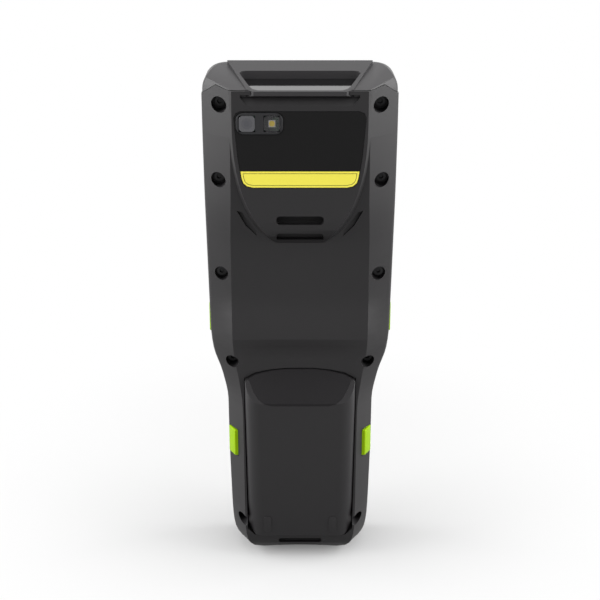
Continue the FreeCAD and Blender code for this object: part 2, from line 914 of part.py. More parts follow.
def front_housing():
    """Front shell with the display window, key openings and side button openings."""
    shell = Part.makeLoft([front_section(level) for level in station_levels()], True, True)
    shell = shell.common(below_seam((0, 40)))
    front = num("front_plane")
    glass_back = front - num("glass_sink") - num("glass_thickness")
    gap = num("seam_gap")
    cuts = []
    cuts.append(rounded_box((-num("glass_half") - gap, num("glass_half") + gap),
                            (glass_back, front + 5),
                            (num("glass_bottom") - gap, num("glass_top") + gap),
                            num("glass_round") + gap, "y"))
    cuts.append(box((-num("head_cavity_half"), num("head_cavity_half")),
                    (-1, glass_back - num("lcd_thickness") - num("fit_gap")),
                    (num("head_cavity_bottom"), num("cavity_top"))))
    cuts.append(box((-num("lcd_half") - gap, num("lcd_half") + gap),
                    (-1, front + 5),
                    (num("lcd_bottom") - gap, num("lcd_top") + gap)))
    camera = (num("front_camera_offset"), num("front_camera_level"))
    cuts.append(round_bar(camera[0], camera[1], num("front_camera_radius") + 0.1, (8, front + 5)))
    cuts.append(box((-num("grip_cavity_half"), num("grip_cavity_half")),
                    (-1, num("key_plane") - num("wall")),
                    (num("cavity_bottom"), num("membrane_top") + 2)))
    clearance = num("key_clearance")
    for name, x, z, width, height in key_table():
        half_width = width.number / 2 + clearance
        half_height = height.number / 2 + clearance
        cuts.append(rounded_box((x.number - half_width, x.number + half_width), (2, 30),
                                (z.number - half_height, z.number + half_height),
                                num("key_round") + clearance, "y"))
    for x, z, hole in screw_places():
        reach = num("screw_reach") + 0.3
        cuts.append(round_bar(x, z, num("screw_radius") + 0.02, (-1, reach)))
    for side in (-1, 1):
        cuts.append(side_button_cut(side, num("scan_key_near"), num("scan_key_depth"),
                                    num("scan_key_bottom"), num("scan_key_height"),
                                    num("scan_key_inner")))
    near = num("side_button_near")
    depth = num("side_button_depth")
    inner = num("side_button_inner")
    cuts.append(side_button_cut(-1, near, depth, num("rocker_bottom"), num("rocker_height"), inner))
    cuts.append(side_button_cut(1, near, depth, num("talk_bottom"), num("talk_height"), inner))
    cuts.append(round_bar(0, num("microphone_level"), num("sound_hole_radius"), (5, 30)))
    cuts.append(box((-num("dock_half") - gap, num("dock_half") + gap),
                    (num("dock_near") - gap, num("dock_near") + num("dock_depth") + gap),
                    (-5, num("cavity_bottom") + 1)))
    return feature("front_housing", shell.cut(cuts))


def cap_section(half, level, front, back):
    """One level of the cap: rounded front corners and the same rear bevels as the rails."""
    edge = half - num("cap_bevel")
    strip = num("side_strip")
    right = [(half, -strip), (half, front), (-half, front), (-half, -strip),
             (-edge, -back), (edge, -back)]
    points = [Vector(x, y, level) for x, y in right]
    count = len(points)
    arcs = []
    for index in range(count):
        following = points[(index + 1) % count]
        arcs.append(corner_arc(points[index - 1], points[index], following, num("side_round")))
    edges = []
    for index in range(count):
        edges.append(Part.Arc(*arcs[index]).toShape())
        edges.append(Part.makeLine(arcs[index][2], arcs[(index + 1) % count][0]))
    return Part.Wire(edges)


def hood_level(y):
    """Height of the hood's sloping top at a depth."""
    front = num("hood_front")
    run = front + num("hood_rear")
    return num("cap_top") + num("hood_rise") - num("hood_slope") * (front - y) / run


def top_cap():
    """End cap with rounded shoulders, the raised hood and the well for the scan window."""
    half = num("cap_half")
    top = num("cap_top")
    radius = num("cap_round")
    front = num("cap_front")
    back = num("shoulder_back") + 1.0
    levels = []
    steps = (0.0, 25.0, 45.0, 65.0, 82.0, 90.0)
    levels.append((half + 0.3, num("housing_top") - 6, front))
    for degrees in steps:
        angle = math.radians(degrees)
        x = half - radius + radius * math.cos(angle)
        z = top - radius + radius * math.sin(angle)
        pull = 2.4 * (1 - math.cos(angle))
        levels.append((x, z, front - pull))
    sections = [cap_section(x, z, y, back) for x, z, y in levels]
    shape = Part.makeLoft(sections, True)
    reach = 2 * half
    roof = [
        (-reach, top - num("cap_rear_drop") * (reach + num("hood_front")) / num("cap_roof_run")),
        (num("hood_front"), top),
        (reach, top),
        (reach, 0),
        (-reach, 0),
    ]
    shape = shape.common(prism_yz(roof, (-reach, reach)))
    shape = shape.common(above_seam((-reach, reach)))
    shape = shape.fuse(hood_block(0.0))
    gap = num("fit_gap")
    plug_half = num("upper_cavity_half") - gap
    plug_bottom = num("cavity_top") - 4
    plug = box((-plug_half, plug_half), (-num("upper_cavity_depth") + gap, -gap),
               (plug_bottom, num("housing_top") + gap))
    shape = shape.fuse(plug)
    cuts = [window_well()]
    wall = num("cap_wall")
    cuts.append(box((-24, 24), (3.2, front - wall), (plug_bottom, top - 3)))
    cuts.append(box((-num("mesh_half") - 0.1, num("mesh_half") + 0.1), (front - wall - 1, front + 5),
                    (num("mesh_level") - 0.1, num("mesh_level") + num("mesh_height") + 0.1)))
    light = num("light_offset")
    light_low = num("mesh_level") + 0.5
    cuts.append(box((light - 0.1, light + num("light_width") + 0.1), (front - wall - 1, front + 5),
                    (light_low - 0.1, light_low + num("light_height") + 0.1)))
    return feature("top_cap", shape.cut(cuts))


def well_floor():
    """Two ends of the tilted window floor: (y, z) at the lip and at the front."""
    rear = (-num("hood_rear") + num("lip_thickness"), num("recess_floor"))
    front = (-num("recess_front"), num("recess_floor") + num("recess_tilt"))
    return rear, front


def well_plan():
    """Plan of the recess down to the lip: wide in front, narrower in the rear, corners cut."""
    rear = -num("hood_rear") + num("lip_thickness")
    front = -num("recess_front")
    front_half = num("recess_half")
    rear_half = num("hood_rear_half") - 1.4
    right = [
        (front_half - 2.6, front),
        (front_half - 0.7, front - 0.6),
        (front_half, front - 2.2),
        (rear_half + 1.4, rear + 3.4),
        (rear_half + 0.2, rear + 1.2),
        (rear_half - 1.8, rear),
    ]
    outline = right + [(-x, y) for x, y in reversed(right)]
    points = [Vector(x, y, 0) for x, y in outline]
    plan = Part.Face(Part.makePolygon(points + points[:1]))
    return plan.extrude(Vector(0, 0, 2 * num("cap_top")))


def window_well():
    """Recess under the hood, down to the underside of the tilted window."""
    rear, front = well_floor()
    drop = num("window_thickness")
    above = 2 * num("cap_top")
    width = (-2 * num("cap_half"), 2 * num("cap_half"))
    side = [
        (rear[0], rear[1] - drop),
        (front[0], front[1] - drop),
        (front[0], above),
        (rear[0], above),
    ]
    return prism_yz(side, width).common(well_plan())


def scan_window():
    """Dark clear plate that closes the well."""
    rear, front = well_floor()
    drop = num("window_thickness")
    side = [
        (rear[0], rear[1] - drop),
        (front[0], front[1] - drop),
        (front[0], front[1]),
        (rear[0], rear[1]),
    ]
    width = (-2 * num("cap_half"), 2 * num("cap_half"))
    return feature("scan_window", prism_yz(side, width).common(well_plan()))


def panel_points(gap):
    """Outline of the dark panel, grown by a gap, with cut corners."""
    top = num("panel_top") + gap
    bottom = num("panel_bottom") - gap
    high = num("panel_half") + gap
    low = num("panel_half") - num("panel_taper") + gap
    middle = bottom + (top - bottom) * 0.4
    right = [
        (low - 4.2, bottom),
        (low - 2.0, bottom + 0.5),
        (low - 0.6, bottom + 1.7),
        (low, bottom + 3.4),
        (high - num("panel_taper") * 0.5, middle),
        (high, top - 2.6),
        (high - 0.8, top - 0.8),
        (high - 2.6, top),
    ]
    return mirrored_points(right)


def rear_panel():
    """Dark insert plate, with its lower edge bare for the label."""
    rear = -num("rear_plane")
    plate = prism_xz(panel_points(0.0), (rear, rear + num("panel_thickness")))
    bezel_x = -num("bezel_center")
    half_width = num("bezel_width") / 2 + 0.1
    half_height = num("bezel_height") / 2 + 0.1
    level = num("bezel_level")
    pocket = rounded_box((bezel_x - half_width, bezel_x + half_width), (rear - 5, rear + 5),
                         (level - half_height, level + half_height), 3.1, "y")
    return feature("rear_panel", plate.cut(pocket))


def yellow_label():
    """Thin printed label along the panel's lower edge."""
    rear = -num("rear_plane")
    sheet_shape = prism_xz(panel_points(-0.15), (rear - num("label_thickness"), rear))
    band = box((-40, 40), (-40, 0), (num("panel_bottom"), num("panel_bottom") + num("label_height")))
    return feature("yellow_label", sheet_shape.common(band))


def battery_shapes():
    """Case and tilted top cover of the battery, split along the curved seam."""
    gap = num("slide_gap")
    inner = -num("bay_floor") - num("fit_gap")
    outline = prism_xz(bay_outline(gap), (-30, inner))
    rear = -num("battery_rear")
    seam = num("battery_seam")
    top = num("bay_top") - gap
    side = [
        (inner, 0),
        (inner, top + 2),
        (-num("battery_top_depth"), top + 2),
        (-num("battery_top_depth"), top - 0.4),
        (rear, seam + num("battery_crease")),
        (rear, num("heel_level") + 12),
        (-num("battery_toe"), num("bay_bottom")),
        (-num("battery_toe") + 1.5, 0),
    ]
    whole = outline.common(prism_yz(side, (-60, 60)))
    radius = num("battery_round")
    flanks = []
    for edge in whole.Edges:
        spot = edge.BoundBox
        steep = spot.ZLength > num("battery_top_depth")
        outer = abs(spot.Center.x) > num("bay_half_bottom") - 3
        if steep and outer and spot.YMax < -10:
            flanks.append(edge)
    whole = whole.makeFillet(radius, flanks)
    side_half = num("bay_half_top")
    right = [
        (side_half - 11.2, seam),
        (side_half - 8.4, seam + 0.8),
        (side_half - 6.1, seam + 2.4),
        (side_half - 4.0, seam + 5.0),
        (side_half - 2.2, seam + 8.4),
        (side_half - 1.0, seam + 12.0),
        (side_half - 0.6, num("cap_top")),
    ]
    upper = mirrored_points(right)
    above = prism_xz(upper, (-60, -num("battery_top_depth") + 1.2))
    cover = whole.common(above)
    case = whole.cut(above)
    cell_gap = 0.2
    cells = box((-num("cell_half") - cell_gap, num("cell_half") + cell_gap),
                (inner - num("wall") * 0.6 - num("cell_depth") - 2 * cell_gap,
                 inner - num("wall") * 0.6),
                (num("cell_bottom") - cell_gap, num("cell_top") + cell_gap))
    contact_gap = 0.1
    contact = box((-num("contact_half") - contact_gap, num("contact_half") + contact_gap),
                  (inner - num("contact_thickness"), inner + 1),
                  (num("contact_level") - contact_gap,
                   num("contact_level") + num("contact_height") + contact_gap))
    return case.cut([cells, contact]), cover


def battery():
    """Battery pack: case, cover, cells and contacts."""
    case, cover = battery_shapes()
    feature("battery_case", case)
    feature("battery_top_cover", cover)
    inner = -size("bay_floor") - size("fit_gap")
    near = inner - size("wall") * 0.6 - 0.2
    block("battery_cells", (-size("cell_half"), size("cell_half")),
          (near - size("cell_depth"), near), (size("cell_bottom"), size("cell_top")),
          corner=term(4.2), axis="z")
    half = size("contact_half")
    level = (size("contact_level"), size("contact_level") + size("contact_height"))
    block("battery_contacts", (-half, half), (inner - size("contact_thickness"), inner), level)
    block("bay_contacts", (-half, half), (-size("bay_floor"), size("board_near")), level)


def latch(label, side):
    """Lime battery latch in one grip flank, its top end cut to a slope."""
    body = doc.addObject("PartDesign::Body", label)
    sketch = add_sketch(body, "XY_Plane", size("latch_bottom"))
    corners = [
        (size("latch_inner") * side, -size("latch_near")),
        (size("latch_outer") * side, -size("latch_near")),
        (size("latch_outer") * side, -size("latch_strip")),
        ((size("latch_outer") - size("latch_facet")) * side, -size("latch_far")),
        (size("latch_inner") * side, -size("latch_far")),
    ]
    draw_polygon(sketch, corners)
    block_pad = pad(body, sketch, size("latch_height"))
    top = num("latch_bottom") + num("latch_height")
    round_edges(body, block_pad, lying_at("z", top), size("latch_facet") * 0.25)
    return keep(body, label)


def side_button(label, side, near, depth, bottom, height, outer, inner, rounding):
    """Button in one flank: a block with a rounded outer face."""
    pair = (inner, outer) if side > 0 else (-outer, -inner)
    return block(label, pair, (near, near + depth), (bottom, bottom + height),
                 corner=rounding, edge=rounding * 0.4, edge_side=("x", side * float(outer)),
                 axis="x")


def side_buttons():
    """Scan buttons on both flanks, the volume rocker and the push to talk button."""
    for side, name in ((-1, "left"), (1, "right")):
        side_button("side_scan_button_" + name, side, size("scan_key_near"),
                    size("scan_key_depth"), size("scan_key_bottom"), size("scan_key_height"),
                    size("scan_key_outer"), size("scan_key_inner"), size("scan_key_round"))
    side_button("volume_rocker", -1, size("side_button_near"), size("side_button_depth"),
                size("rocker_bottom"), size("rocker_height"),
                size("label_half") + size("rocker_proud"),
                size("side_button_inner"), size("scan_key_round"))
    side_button("push_to_talk_button", 1, size("side_button_near"), size("side_button_depth"),
                size("talk_bottom"), size("talk_height"),
                size("waist_half") + size("rocker_proud"),
                size("side_button_inner"), size("scan_key_round"))


def screws():
    """Ten socket head screws that hold the two shells together."""
    solids = []
    seat = -num("screw_seat")
    for x, z, hole in screw_places():
        head = round_bar(x, z, num("head_radius"), (seat - num("head_height"), seat))
        shank = round_bar(x, z, num("screw_radius"), (seat - 0.5, num("screw_reach")))
        socket = round_bar(x, z, num("socket_radius"),
                           (seat - num("head_height") - 1, seat - num("head_height") + num("socket_depth")))
        solids.append(head.fuse(shank).cut(socket).removeSplitter())
    return feature("rear_screws", Part.makeCompound(solids))


def camera_parts():
    """Camera plate with its two windows, the flash light and the camera behind."""
    rear = -size("rear_plane")
    level = size("bezel_level")
    x = -size("bezel_center")
    half_width = size("bezel_width") / 2
    half_height = size("bezel_height") / 2
    front = rear + size("panel_thickness")
    bezel = doc.addObject("PartDesign::Body", "camera_bezel")
    sketch = add_sketch(bezel, "XZ_Plane", -front)
    draw_polygon(sketch, [
        (x - half_width, level - half_height), (x + half_width, level - half_height),
        (x + half_width, level + half_height), (x - half_width, level + half_height)])
    plate = pad(bezel, sketch, size("panel_thickness") + size("bezel_thickness"))
    rounded = round_edges(bezel, plate, along("y"), term(3.0))
    face = num("rear_plane") + num("bezel_thickness")
    round_edges(bezel, rounded, lying_at("y", -face), size("bezel_thickness") * 0.8)
    for side in (-1, 1):
        place = x + size("lens_pitch") / 2 * side
        half = size("lens_size") / 2 + 0.05
        opening = add_sketch(bezel, "XZ_Plane", -front)
        draw_polygon(opening, [
            (place - half, level - half), (place + half, level - half),
            (place + half, level + half), (place - half, level + half)])
        pocket = bezel.newObject("PartDesign::Pocket", "window")
        pocket.Profile = opening
        pocket.Type = 0
        pocket.Reversed = True
        pocket.setExpression("Length", (size("panel_thickness") + 5).text)
        doc.recompute()
    keep(bezel, "camera_bezel")
    outer = rear - size("bezel_thickness")
    for name, side in (("camera_lens", -1), ("flash_lens", 1)):
        place = x + size("lens_pitch") / 2 * side
        half = size("lens_size") / 2
        block(name, (place - half, place + half),
              (outer + 0.1, outer + 0.1 + size("lens_thickness")),
              (level - half, level + half), corner=term(1.7))
    place = x + size("lens_pitch") / 2
    half = size("led_size") / 2
    behind = outer + 0.1 + size("lens_thickness") + 0.05
    block("flash_led", (place - half, place + half), (behind, behind + size("led_thickness")),
          (level - half, level + half))
    camera_half = size("camera_size") / 2
    place = x - size("lens_pitch") / 2 + 1.0
    block("rear_camera_module", (place - camera_half + 0.6, place + camera_half - 0.6),
          (front + 0.1, front + 0.1 + size("camera_depth")),
          (level - camera_half + 0.4, level + camera_half - 0.4))


def keypad():
    """Keys in their openings, with the membrane behind them."""
    back = size("key_plane") - size("wall") + size("key_back_gap")
    face = size("key_plane") + size("key_proud")
    for name, x, z, width, height in key_table():
        block(name, (x - width / 2, x + width / 2), (back, face),
              (z - height / 2, z + height / 2), corner=size("key_round"),
              edge=size("key_edge"), edge_side=("y", face.number))
    under = size("key_plane") - size("wall")
    half = size("grip_cavity_half") - size("fit_gap")
    block("keypad_membrane", (-half, half), (under - size("membrane_thickness"), under),
          (size("membrane_bottom"), size("membrane_top")))


def display_parts():
    """Display glass, display module and front camera."""
    front = size("front_plane") - size("glass_sink")
    back = front - size("glass_thickness")
    half = size("glass_half")
    block("display_glass", (-half, half), (back, front),
          (size("glass_bottom"), size("glass_top")), corner=size("glass_round"))
    half = size("lcd_half")
    block("lcd_module", (-half, half), (back - size("lcd_thickness"), back),
          (size("lcd_bottom"), size("lcd_top")))
    disc("front_camera", size("front_camera_offset"), size("front_camera_level"),
         (back - size("lcd_thickness"), back), size("front_camera_radius"))


def inner_parts():
    """Boards, scan engine, sound parts, seal, status light and dock connector."""
    gap = size("fit_gap")
    half = size("grip_cavity_half") - gap
    near = size("board_near")
    block("main_board", (-half, half), (near, near + size("board_thickness")),
          (size("board_bottom"), size("board_top")))
    half = size("engine_half")
    far = -size("upper_cavity_depth") + gap
    block("scan_engine", (-half, half), (far, far + size("engine_depth")),
          (size("engine_level"), size("engine_level") + size("engine_height")), corner=term(1.0))
    inside = size("cap_front") - size("cap_wall")
    half = size("speaker_half")
    top = size("cap_top") - 3 - gap
    block("speaker", (-half, half), (inside - gap - size("speaker_depth"), inside - gap),
          (top - size("speaker_height"), top), corner=term(1.0))
    half = size("mesh_half")
    level = (size("mesh_level"), size("mesh_level") + size("mesh_height"))
    face = size("cap_front") - 0.6
    block("speaker_mesh", (-half, half), (face - size("mesh_thickness"), face), level)
    low = size("mesh_level") + 0.5
    block("status_lightpipe", (size("light_offset"), size("light_offset") + size("light_width")),
          (inside, face), (low, low + size("light_height")))
    under = size("key_plane") - size("wall")
    disc("microphone", 0, size("microphone_level"),
         (under - size("microphone_depth"), under), size("microphone_radius"))
    near = size("dock_near")
    half = size("dock_half")
    block("dock_connector", (-half, half), (near, near + size("dock_depth")),
          (size("dock_sink"), size("dock_sink") + size("dock_height")))


def housing_seal():
    """Rubber cord in the joint between the two shells, above the grip."""
    half = num("seal_half") + num("seal_width")
    y = (-num("seal_thickness"), 0.0)
    z = (num("seal_bottom"), num("seal_top"))
    inside = num("seal_half")
    outer = box((-half, half), y, z)
    inner = box((-inside, inside), (-5, 5), (z[0] + num("seal_width"), z[1] - num("seal_width")))
    return feature("housing_seal", outer.cut(inner))


def seat_seal():
    """Groove for the seal in the rear shell."""
    housing = NODES["rear_housing"]
    housing.Shape = housing.Shape.cut(NODES["housing_seal"].Shape)


def check(items):
    """Stop when any sub-part failed or holds no sound solid."""
    for item in doc.Objects:
        if "Invalid" in item.State or "Error" in item.State:
            raise RuntimeError("failed object: %s" % item.Label)
    for label, item in items.items():
        shape = item.Shape
        if shape.isNull() or not shape.isValid() or not shape.Solids:
            raise RuntimeError("bad shape: %s" % label)


rear_housing()
front_housing()
top_cap()
scan_window()
rear_panel()
yellow_label()
camera_parts()
screws()
battery()
latch("battery_latch_left", -1)
latch("battery_latch_right", 1)
side_buttons()
display_parts()
keypad()
inner_parts()
housing_seal()
seat_seal()
doc.recompute()
check(NODES)

os.makedirs("parts", exist_ok=True)
for node_label, node in NODES.items():
    node.Shape.exportStep("parts/%s.step" % node_label)
    print("%-26s solids %d volume %.1f" % (node_label, len(node.Shape.Solids), node.Shape.Volume))
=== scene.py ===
import json
import math

import bmesh
import bpy
from mathutils import Matrix, Vector


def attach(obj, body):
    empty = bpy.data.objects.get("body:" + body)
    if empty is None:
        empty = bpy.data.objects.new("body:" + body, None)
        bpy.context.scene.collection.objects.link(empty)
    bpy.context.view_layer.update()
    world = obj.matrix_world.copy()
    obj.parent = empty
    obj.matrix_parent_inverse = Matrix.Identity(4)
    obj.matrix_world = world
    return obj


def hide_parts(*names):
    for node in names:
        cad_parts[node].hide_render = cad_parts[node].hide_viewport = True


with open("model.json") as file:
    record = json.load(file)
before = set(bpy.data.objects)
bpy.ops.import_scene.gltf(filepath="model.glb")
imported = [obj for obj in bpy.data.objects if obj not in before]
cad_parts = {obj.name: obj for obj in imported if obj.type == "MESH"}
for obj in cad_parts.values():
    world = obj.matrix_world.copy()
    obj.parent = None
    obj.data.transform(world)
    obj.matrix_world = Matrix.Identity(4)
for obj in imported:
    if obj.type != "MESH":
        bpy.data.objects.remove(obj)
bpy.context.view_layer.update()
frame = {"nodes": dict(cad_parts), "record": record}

# Lengths in metres, in the terminal's own frame: rear towards -Y, keypad towards +Y
CAMERA_DISTANCE = 0.520
CAMERA_ELEVATION = math.radians(20)
CAMERA_TARGET = Vector((0.0, 0.0, 0.105))
CAMERA_FOCAL = 75.8
CAMERA_SHIFT_UP = 0.0221
FLOOR_MIDDLE = 0.06
FLOOR_NEAR = 0.03
FLOOR_FAR = 0.18
FLOOR_SIZE = 8.0

CAMERA_PLACE = (-0.020025, 0.1872)
FLASH_PLACE = (-0.010575, 0.1872)
PHOSPHOR_RADIUS = 0.0011
PUPIL_RADIUS = 0.0011
LENS_RING_RADIUS = 0.0021
SCREEN_MIDDLE = 0.1512
SCREEN_HALF_WIDTH = 0.0262
SCREEN_HALF_HEIGHT = 0.0388
MESH_WAVES = 7854            # radians per metre: holes 0.4 mm apart
MESH_EDGE = 0.45

LABEL_MARGIN = 0.0007
LABEL_LINE = 0.00022
PAD_WIDTH = 0.0033
PAD_HEIGHT = 0.0078
PAD_THICKNESS = 0.0008
PAD_CORNER = 0.00162
PAD_RIM = 0.0002
PAD_PLACE = (0.0137, -0.01714, 0.0164)
PAD_TILT = math.atan2(1.4, 15.7)
PAD_SMOOTH_ANGLE = math.radians(35)
PIN_COUNT = 8
PIN_PITCH = 0.002
PIN_FIRST = (-0.007, 0.0045, 0.0013)
PIN_TIP_RADIUS = 0.0005
PIN_FOOT_RADIUS = 0.00045
PIN_LENGTH = 0.0007

DIGIT_HEIGHT = 0.0052
WORD_HEIGHT = 0.0030
ARROW_RADIUS = 0.0017
DOT_SIZE = 0.0011
DOT_GAP = 0.0008
SCAN_BARS = (0.0007, 0.0003, 0.0011, 0.0003, 0.0007, 0.0005)
SCAN_BAR_HEIGHT = 0.0052
SCAN_BAR_GAP = 0.0005
MARK_LIFT = 0.00003

SMOOTH_ANGLE = math.radians(28)
FLAT_ANGLE = math.radians(0.4)
MERGE_DISTANCE = 2e-6
EASE_ANGLE = math.radians(32)

BODY_OF = {}
for body_name, members in frame["record"]["behaviour"]["bodies"].items():
    for member in members:
        BODY_OF[member] = body_name
SLOT_OF = {entry["node"]: entry["material_slot"] for entry in frame["record"]["subparts"]}


# Shader sockets as Python values

class Value:
    """A socket of a material's node tree, with arithmetic that adds Math nodes."""

    def __init__(self, paint, socket):
        self.paint = paint
        self.socket = socket

    def math(self, operation, other, turned=False):
        pair = [other, self] if turned else [self, other]
        return self.paint.node("ShaderNodeMath", {"operation": operation}, {0: pair[0], 1: pair[1]})

    def __add__(self, other):
        return self.math("ADD", other)

    def __radd__(self, other):
        return self.math("ADD", other, True)

    def __sub__(self, other):
        return self.math("SUBTRACT", other)

    def __rsub__(self, other):
        return self.math("SUBTRACT", other, True)

    def __mul__(self, other):
        return self.math("MULTIPLY", other)

    def __rmul__(self, other):
        return self.math("MULTIPLY", other, True)

    def __gt__(self, other):
        return self.math("GREATER_THAN", other)

    def __lt__(self, other):
        return self.math("LESS_THAN", other)

    def __abs__(self):
        return self.math("ABSOLUTE", 0.0)

    def sine(self):
        return self.math("SINE", 0.0)


class Paint:
    """One procedural material and the nodes in it."""

    def __init__(self, name, **constants):
        self.material = bpy.data.materials.new(name)
        self.material.use_nodes = True
        self.tree = self.material.node_tree
        self.shader = self.tree.nodes["Principled BSDF"]
        for label, number in constants.items():
            self.shader.inputs[label.replace("_", " ")].default_value = number
        self.place = self.node("ShaderNodeTexCoord", {}, {}, "Object")

    def node(self, kind, settings, inputs, output=0):
        made = self.tree.nodes.new(kind)
        for name, setting in settings.items():
            setattr(made, name, setting)
        for key, value in inputs.items():
            if isinstance(value, Value):
                self.tree.links.new(value.socket, made.inputs[key])
            else:
                made.inputs[key].default_value = value
        return Value(self, made.outputs[output])

    def noise(self, scale, detail=2.0, roughness=0.5):
        settings = {"Vector": self.place, "Scale": scale, "Detail": detail, "Roughness": roughness}
        return self.node("ShaderNodeTexNoise", {}, settings)

    def axis(self, name):
        return self.node("ShaderNodeSeparateXYZ", {}, {0: self.place}, name)

    def blend(self, share, first, second):
        settings = {"data_type": "RGBA", "blend_type": "MIX"}
        return self.node("ShaderNodeMix", settings, {0: share, 6: first, 7: second}, 2)

    def bump(self, height, strength, distance):
        inputs = {"Height": height, "Strength": strength, "Distance": distance}
        return self.node("ShaderNodeBump", {}, inputs)

    def reach(self, place):
        """Square of the distance from a place on the terminal's rear."""
        across = self.axis("X") - place[0]
        along = self.axis("Z") - place[1]
        return across * across + along * along

    def set(self, **links):
        for label, value in links.items():
            self.tree.links.new(value.socket, self.shader.inputs[label.replace("_", " ")])
        return self.material


def shade(color, factor):
    """A colour made lighter or darker, with its alpha."""
    return (color[0] * factor, color[1] * factor, color[2] * factor, 1.0)


def moulded(name, color, roughness, grain=0.05, drift=0.1, gloss=0.25):
    """Moulded plastic: fine spark-eroded grain and a faint drift of colour and gloss."""
    paint = Paint(name, Specular_IOR_Level=gloss)
    broad = paint.noise(38, 3.0)
    fine = paint.noise(5200, 2.0, 0.6)
    color_mix = paint.blend(broad, shade(color, 1 - drift), shade(color, 1 + drift))
    rough = roughness - 0.05 + broad * 0.06 + fine * 0.05
    return paint.set(Base_Color=color_mix, Roughness=rough,
                     Normal=paint.bump(fine, grain * 3, 0.00004))


def clear_window(name, color, roughness=0.05):
    """Dark clear cover with a hard gloss and a trace of dust."""
    paint = Paint(name, Specular_IOR_Level=0.6, Coat_Weight=0.6, Coat_Roughness=0.03)
    dust = paint.noise(900, 4.0)
    return paint.set(Base_Color=paint.blend(dust, shade(color, 0.85), shade(color, 1.15)),
                     Roughness=roughness + dust * 0.04)


def blackened_steel():
    """Black-oxide screw steel, slightly blotched."""
    paint = Paint("screw_steel", Metallic=0.8)
    blotch = paint.noise(2400, 3.0)
    return paint.set(Base_Color=paint.blend(blotch, (0.012, 0.012, 0.0125, 1), (0.03, 0.03, 0.031, 1)),
                     Roughness=0.34 + blotch * 0.14)


def gold_plate():
    """Gold-plated contact."""
    paint = Paint("contact_gold", Metallic=1.0)
    wear = paint.noise(3000, 2.0)
    return paint.set(Base_Color=paint.blend(wear, (0.72, 0.5, 0.18, 1), (0.85, 0.62, 0.25, 1)),
                     Roughness=0.22 + wear * 0.12)


def printed_film():
    """Yellow label film with a faint fibre in the print."""
    paint = Paint("label_film", Specular_IOR_Level=0.3)
    fibre = paint.noise(1500, 3.0)
    return paint.set(Base_Color=paint.blend(fibre, (0.86, 0.77, 0.082, 1), (0.93, 0.84, 0.10, 1)),
                     Roughness=0.42 + fibre * 0.1, Normal=paint.bump(fibre, 0.05, 0.00002))


def flash_die():
    """Pale carrier with the round yellow phosphor of the flash light."""
    paint = Paint("led_yellow", Specular_IOR_Level=0.4)
    dot = paint.reach(FLASH_PLACE) < PHOSPHOR_RADIUS ** 2
    grain = paint.noise(4000, 2.0)
    phosphor = paint.blend(grain, (0.62, 0.46, 0.03, 1), (0.80, 0.60, 0.05, 1))
    carrier = paint.blend(grain, (0.42, 0.41, 0.38, 1), (0.52, 0.51, 0.48, 1))
    return paint.set(Base_Color=paint.blend(dot, carrier, phosphor), Roughness=0.4 + grain * 0.2)


def tinted_window():
    """Smoked clear window over the flash light."""
    paint = Paint("flash_window", Specular_IOR_Level=0.6, Coat_Weight=0.5, Alpha=0.2)
    dust = paint.noise(900, 4.0)
    return paint.set(Base_Color=paint.blend(dust, (0.075, 0.073, 0.078, 1), (0.095, 0.093, 0.098, 1)),
                     Roughness=0.12 + dust * 0.05)


def camera_window():
    """Grey-blue lens window, darker in a ring about the lens."""
    paint = Paint("camera_window", Specular_IOR_Level=0.6, Coat_Weight=0.5)
    reach = paint.reach(CAMERA_PLACE)
    pupil = reach < PUPIL_RADIUS ** 2
    ring = (reach < LENS_RING_RADIUS ** 2) - pupil
    dust = paint.noise(900, 4.0)
    face = paint.blend(dust, (0.040, 0.040, 0.046, 1), (0.050, 0.050, 0.058, 1))
    ringed = paint.blend(ring, face, (0.030, 0.030, 0.038, 1))
    return paint.set(Base_Color=paint.blend(pupil, ringed, (0.022, 0.023, 0.032, 1)),
                     Roughness=0.12 + dust * 0.05)


def display_cover():
    """Black-bordered cover glass with the darkened screen showing through."""
    paint = Paint("display_glass", Specular_IOR_Level=0.6, Coat_Weight=0.7, Coat_Roughness=0.02)
    within = abs(paint.axis("X")) < SCREEN_HALF_WIDTH
    level = abs(paint.axis("Z") - SCREEN_MIDDLE) < SCREEN_HALF_HEIGHT
    pixels = paint.noise(600, 2.0)
    screen = paint.blend(pixels, (0.017, 0.019, 0.023, 1), (0.022, 0.024, 0.029, 1))
    return paint.set(Base_Color=paint.blend(within * level, (0.004, 0.004, 0.0045, 1), screen),
                     Roughness=0.045 + pixels * 0.02)


def pierced_steel():
    """Speaker mesh: black steel with rows of round holes, the holes painted near-black as painted
    shade of the hollow behind them.
    """
    paint = Paint("speaker_grille", Metallic=0.7)
    waves = (paint.axis("X") * MESH_WAVES).sine() * (paint.axis("Z") * MESH_WAVES).sine()
    holes = abs(waves) > MESH_EDGE
    # Painted shade: the holes are drawn near-black where the hollow behind the mesh lies in shade.
    return paint.set(Base_Color=paint.blend(holes, (0.07, 0.07, 0.074, 1), (0.003, 0.003, 0.003, 1)),
                     Roughness=0.38 + holes * 0.4)


HOUSING_GREY = (0.0160, 0.0151, 0.0160)
CAP_GREY = (0.028, 0.0266, 0.0282)
PANEL_BLACK = (0.0064, 0.0062, 0.0064)
BEZEL_BLACK = (0.0150, 0.0150, 0.0165)
BATTERY_BLACK = (0.0155, 0.0146, 0.0156)
LIME = (0.25, 0.42, 0.003)
KEY_BLACK = (0.020, 0.020, 0.021)
WINDOW_BLACK = (0.004, 0.004, 0.0045)

